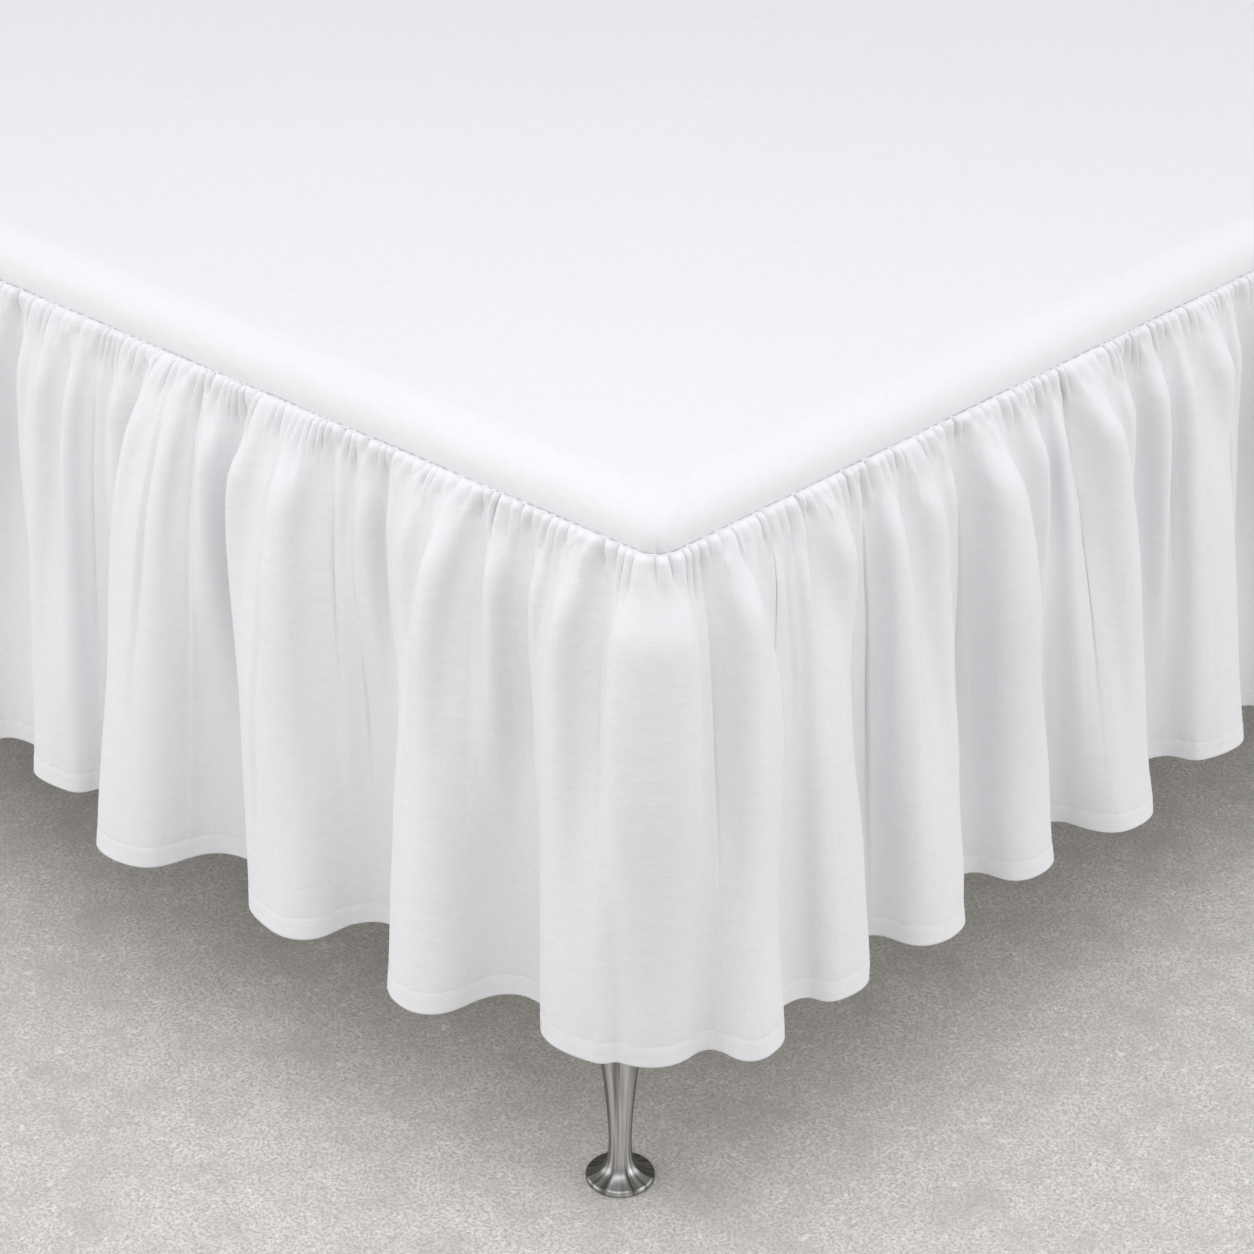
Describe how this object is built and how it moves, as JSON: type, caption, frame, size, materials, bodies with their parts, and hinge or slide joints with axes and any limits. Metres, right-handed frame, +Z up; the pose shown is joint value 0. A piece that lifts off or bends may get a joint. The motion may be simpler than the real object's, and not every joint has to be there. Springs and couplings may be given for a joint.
{
  "type": "gathered bed skirt on a bed base",
  "caption": "Smooth cloth platform with a gathered, hemmed ruffle on three sides, fitted over a plain full-size bed base on turned steel legs.",
  "frame": {"origin": "on the floor, under the middle of the whole outline", "axes": "+X across the bed to the right side seen from the foot, +Y along the bed towards the head, +Z up"},
  "size_m": [1.512, 2.005, 0.544],
  "materials": {
    "skirt_cloth": "plain woven white cotton blend, soft and matte",
    "base_cover": "plain woven off-white cover, matte",
    "leg_steel": "brushed, with a bright rim on the foot"
  },
  "bodies": {
    "root": {"platform_panel": "skirt_cloth", "ruffle_left": "skirt_cloth", "ruffle_foot": "skirt_cloth", "ruffle_right": "skirt_cloth", "bed_base": "base_cover", "leg_foot_left": "leg_steel", "leg_foot_right": "leg_steel", "leg_head_left": "leg_steel", "leg_head_right": "leg_steel"}
  },
  "joints": []
}
